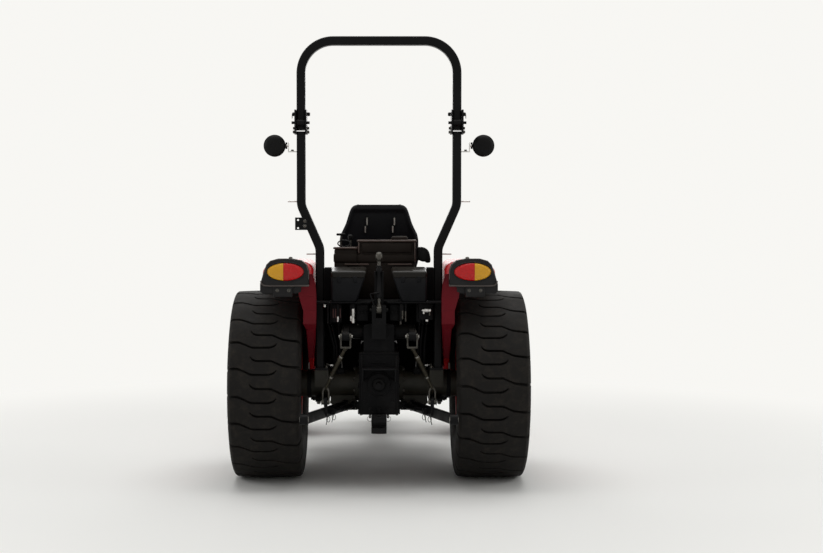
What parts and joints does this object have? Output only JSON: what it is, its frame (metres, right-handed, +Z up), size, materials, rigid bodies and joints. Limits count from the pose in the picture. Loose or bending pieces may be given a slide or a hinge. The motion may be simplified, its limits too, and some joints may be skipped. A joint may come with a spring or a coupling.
{
  "type": "farm tractor",
  "caption": "Compact farm tractor with an open station, folding roll bar, red fenders, wide tyres and a rear three-point hitch.",
  "frame": {"origin": "on the ground under the middle of the machine's box", "axes": "+X to the machine's right, +Y ahead, +Z up"},
  "size_m": [1.6928, 3.1079, 2.555],
  "materials": {
    "red_paint": "gloss enamel",
    "black_paint": "satin powder coat",
    "cast_dark": "painted casting",
    "dark_plastic": "grained",
    "tyre_rubber": "matte",
    "seat_vinyl": "grained vinyl",
    "grip_rubber": "soft matte",
    "lens_red": "clear gloss",
    "lens_amber": "clear gloss",
    "lamp_glass": "clear",
    "bright_steel": "zinc plated"
  },
  "bodies": {
    "chassis": {"transmission_housing": "cast_dark", "rear_axle_housings": "cast_dark", "engine_block": "cast_dark", "front_frame": "black_paint", "radiator_and_battery": "black_paint", "exhaust_pipe": "black_paint", "front_axle_beam": "cast_dark", "dash_cowl": "dark_plastic", "pedals": "black_paint", "fender_right": "red_paint", "fender_left": "red_paint", "platform": "black_paint", "seat_deck": "black_paint", "tail_light_pods": "dark_plastic", "tail_lenses_red": "lens_red", "tail_lenses_amber": "lens_amber", "rops_posts": "black_paint", "rops_fold_plates": "black_paint", "warning_lamps": "dark_plastic", "warning_lamp_arms": "bright_steel", "post_rods": "bright_steel", "post_plate": "black_paint", "seat_base": "black_paint", "seat_pan": "black_paint", "seat_cushion": "seat_vinyl", "seat_back_shell": "dark_plastic", "seat_backrest": "seat_vinyl", "rear_console": "dark_plastic", "console_levers": "grip_rubber", "cover_boxes": "dark_plastic", "top_link_clip": "black_paint", "drawbar": "black_paint", "pto_shield": "black_paint"},
    "bonnet": {"bonnet": "red_paint", "grille": "dark_plastic", "headlamps": "lamp_glass"},
    "roll_bar": {"rops_hoop": "black_paint"},
    "steering_wheel": {"steering_wheel": "grip_rubber"},
    "rear_wheel_left": {"rear_tyre_left": "tyre_rubber", "rear_rim_left": "red_paint"},
    "knuckle_left": {"knuckle_left": "cast_dark"},
    "front_wheel_left": {"front_tyre_left": "tyre_rubber", "front_rim_left": "red_paint"},
    "rear_wheel_right": {"rear_tyre_right": "tyre_rubber", "rear_rim_right": "red_paint"},
    "knuckle_right": {"knuckle_right": "cast_dark"},
    "front_wheel_right": {"front_tyre_right": "tyre_rubber", "front_rim_right": "red_paint"},
    "tie_rod": {"tie_rod": "black_paint"},
    "lift_arms": {"lift_arms": "cast_dark"},
    "lift_rod_left": {"lift_rod_left": "black_paint"},
    "lower_link_left": {"lower_link_left": "black_paint", "stabilizer_left": "black_paint"},
    "lift_rod_right": {"lift_rod_right": "black_paint"},
    "lower_link_right": {"lower_link_right": "black_paint", "stabilizer_right": "black_paint"},
    "top_link": {"top_link": "black_paint"}
  },
  "joints": [
    {"name": "rear_wheel_left_spin", "type": "hinge", "parent": "chassis", "child": "rear_wheel_left", "pos_m": [-0.64, -0.746, 0.546], "axis": [1, 0, 0], "continuous": true},
    {"name": "knuckle_left_steer", "type": "hinge", "parent": "chassis", "child": "knuckle_left", "pos_m": [-0.455, 0.954, 0.343], "axis": [0, 0, 1], "range_deg": [-38, 38]},
    {"name": "front_wheel_left_spin", "type": "hinge", "parent": "knuckle_left", "child": "front_wheel_left", "pos_m": [-0.62, 0.954, 0.343], "axis": [1, 0, 0], "continuous": true},
    {"name": "rear_wheel_right_spin", "type": "hinge", "parent": "chassis", "child": "rear_wheel_right", "pos_m": [0.64, -0.746, 0.546], "axis": [1, 0, 0], "continuous": true},
    {"name": "knuckle_right_steer", "type": "hinge", "parent": "chassis", "child": "knuckle_right", "pos_m": [0.455, 0.954, 0.343], "axis": [0, 0, 1], "range_deg": [-38, 38]},
    {"name": "front_wheel_right_spin", "type": "hinge", "parent": "knuckle_right", "child": "front_wheel_right", "pos_m": [0.62, 0.954, 0.343], "axis": [1, 0, 0], "continuous": true},
    {"name": "tie_rod_turn", "type": "hinge", "parent": "knuckle_left", "child": "tie_rod", "pos_m": [-0.455, 0.819, 0.28], "axis": [0, 0, 1], "range_deg": [-38, 38]},
    {"name": "steering_wheel_turn", "type": "hinge", "parent": "chassis", "child": "steering_wheel", "pos_m": [0, 0.114, 1.285], "axis": [0, -0.6097, 0.7926], "range_deg": [-456, 456]},
    {"name": "bonnet_open", "type": "hinge", "parent": "chassis", "child": "bonnet", "pos_m": [0, 0.424, 1.14], "axis": [1, 0, 0], "range_deg": [0, 55]},
    {"name": "roll_bar_fold", "type": "hinge", "parent": "chassis", "child": "roll_bar", "pos_m": [0, -0.948, 2.05995], "axis": [1, 0, 0], "range_deg": [0, 168]},
    {"name": "lift_arms_raise", "type": "hinge", "parent": "chassis", "child": "lift_arms", "pos_m": [0, -0.981, 0.868], "axis": [-1, 0, 0], "range_deg": [-22, 38]},
    {"name": "lift_rod_left_turn", "type": "hinge", "parent": "lift_arms", "child": "lift_rod_left", "pos_m": [-0.184, -1.246, 0.862], "axis": [-1, 0, 0], "range_deg": [-44, 27]},
    {"name": "lower_link_left_raise", "type": "hinge", "parent": "chassis", "child": "lower_link_left", "pos_m": [-0.195, -0.826, 0.425], "axis": [-1, 0, 0], "range_deg": [-18, 31]},
    {"name": "lift_rod_right_turn", "type": "hinge", "parent": "lift_arms", "child": "lift_rod_right", "pos_m": [0.184, -1.246, 0.862], "axis": [-1, 0, 0], "range_deg": [-44, 27]},
    {"name": "lower_link_right_raise", "type": "hinge", "parent": "chassis", "child": "lower_link_right", "pos_m": [0.195, -0.826, 0.425], "axis": [-1, 0, 0], "range_deg": [-18, 31]},
    {"name": "top_link_drop", "type": "hinge", "parent": "chassis", "child": "top_link", "pos_m": [0, -1.124, 1], "axis": [1, 0, 0], "range_deg": [0, 100]}
  ],
  "couplings": [
    {"joint": "knuckle_right_steer", "follows": "knuckle_left_steer", "ratio": 1},
    {"joint": "tie_rod_turn", "follows": "knuckle_left_steer", "ratio": -1},
    {"joint": "steering_wheel_turn", "follows": "knuckle_left_steer", "ratio": 12},
    {"joint": "lift_rod_left_turn", "follows": "lift_arms_raise", "ratio": -1.136},
    {"joint": "lower_link_left_raise", "follows": "lift_arms_raise", "ratio": 0.8036},
    {"joint": "lift_rod_right_turn", "follows": "lift_arms_raise", "ratio": -1.136},
    {"joint": "lower_link_right_raise", "follows": "lift_arms_raise", "ratio": 0.8036}
  ]
}
